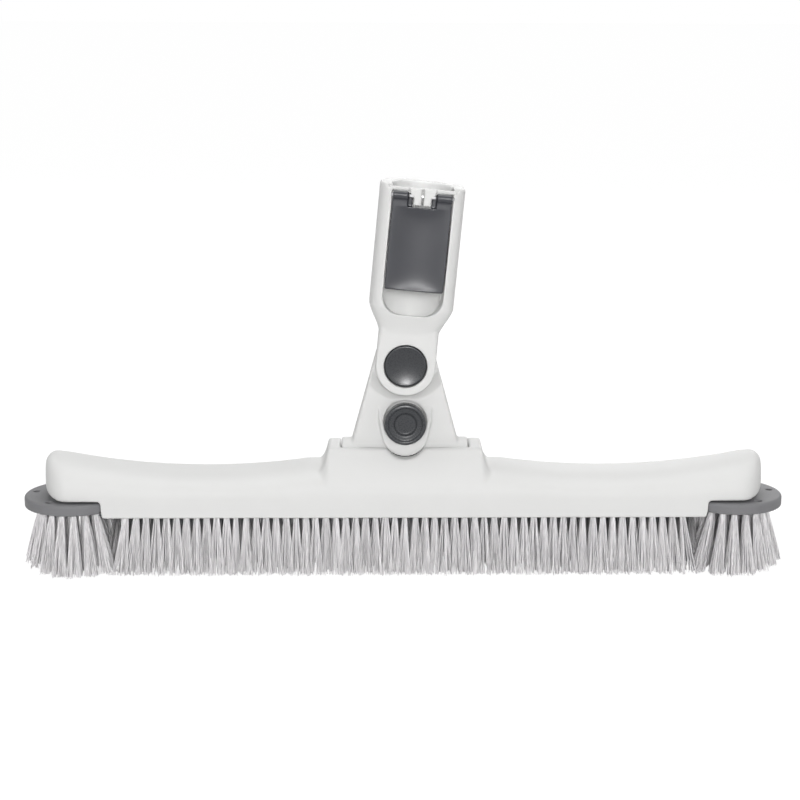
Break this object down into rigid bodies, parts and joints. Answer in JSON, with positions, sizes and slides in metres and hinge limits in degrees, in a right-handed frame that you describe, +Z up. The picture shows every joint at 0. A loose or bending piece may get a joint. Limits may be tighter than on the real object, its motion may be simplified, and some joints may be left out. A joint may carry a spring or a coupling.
{
  "type": "pool wall brush",
  "caption": "Wide pool brush: curved head, stiff bristles fanned out at both ends, and a pole socket that tilts and swivels on button locks, with a flip lever that pins the pole.",
  "frame": {"origin": "middle of the flat that the bristle tips stand on", "axes": "+X along the head to the right as seen from the buttons, +Y to the back, +Z up towards the pole"},
  "size_m": [0.4568, 0.0642, 0.231],
  "materials": {
    "white_shell": "moulded satin white plastic",
    "dark_plastic": "moulded satin dark grey plastic",
    "bumper_rubber": "matt mid grey",
    "bristle_nylon": "pale grey nylon filament",
    "steel": "bright stainless"
  },
  "bodies": {
    "head": {"head_shell": "white_shell", "bristle_plate": "dark_plastic", "main_bristles": "bristle_nylon", "plate_screw_1": "steel", "plate_screw_2": "steel", "plate_screw_3": "steel", "plate_screw_4": "steel", "end_bumper_left": "bumper_rubber", "end_bumper_right": "bumper_rubber", "end_bristles_left": "bristle_nylon", "end_bristles_right": "bristle_nylon", "bumper_screw_left_1": "steel", "bumper_screw_left_2": "steel", "bumper_screw_right_1": "steel", "bumper_screw_right_2": "steel", "tilt_hinge_pin": "steel", "index_drum": "dark_plastic"},
    "neck": {"neck_link": "white_shell", "neck_cover": "white_shell", "cover_screw_1": "steel", "cover_screw_2": "steel", "cover_screw_3": "steel", "cover_screw_4": "steel", "tilt_spring": "steel"},
    "tilt_button": {"tilt_button": "dark_plastic"},
    "tilt_bolt": {"tilt_bolt": "dark_plastic"},
    "handle": {"handle_socket": "white_shell", "lever_pin": "steel", "swivel_washer": "steel", "swivel_screw": "steel", "swivel_spring": "steel"},
    "swivel_button": {"swivel_button": "dark_plastic", "swivel_gear": "dark_plastic"},
    "lever": {"pole_lever": "dark_plastic"}
  },
  "joints": [
    {"name": "head_tilt", "type": "hinge", "parent": "head", "child": "neck", "pos_m": [0, 0, 0.0693], "axis": [-1, 0, 0], "range_deg": [0, 60]},
    {"name": "handle_swivel", "type": "hinge", "parent": "neck", "child": "handle", "pos_m": [0, 0, 0.1238], "axis": [0, 1, 0], "range_deg": [-50.3, 39.7]},
    {"name": "tilt_button_press", "type": "slide", "parent": "neck", "child": "tilt_button", "axis": [0, 1, 0], "range_m": [0, 0.003], "stiffness_N_per_m": 600, "springref_m": -0.004},
    {"name": "tilt_bolt_lift", "type": "slide", "parent": "neck", "child": "tilt_bolt", "axis": [0, 0, 1], "range_m": [0, 0.003], "deforming": ["tilt_spring"]},
    {"name": "swivel_button_press", "type": "slide", "parent": "handle", "child": "swivel_button", "axis": [0, 1, 0], "range_m": [0, 0.003], "stiffness_N_per_m": 600, "springref_m": -0.004, "deforming": ["swivel_spring"]},
    {"name": "lever_lift", "type": "hinge", "parent": "handle", "child": "lever", "pos_m": [0.0092, -0.019, 0.22297], "axis": [-0.9957, 0, 0.0924], "range_deg": [0, 95]}
  ],
  "couplings": [
    {"joint": "tilt_bolt_lift", "follows": "tilt_button_press", "ratio": 1}
  ]
}
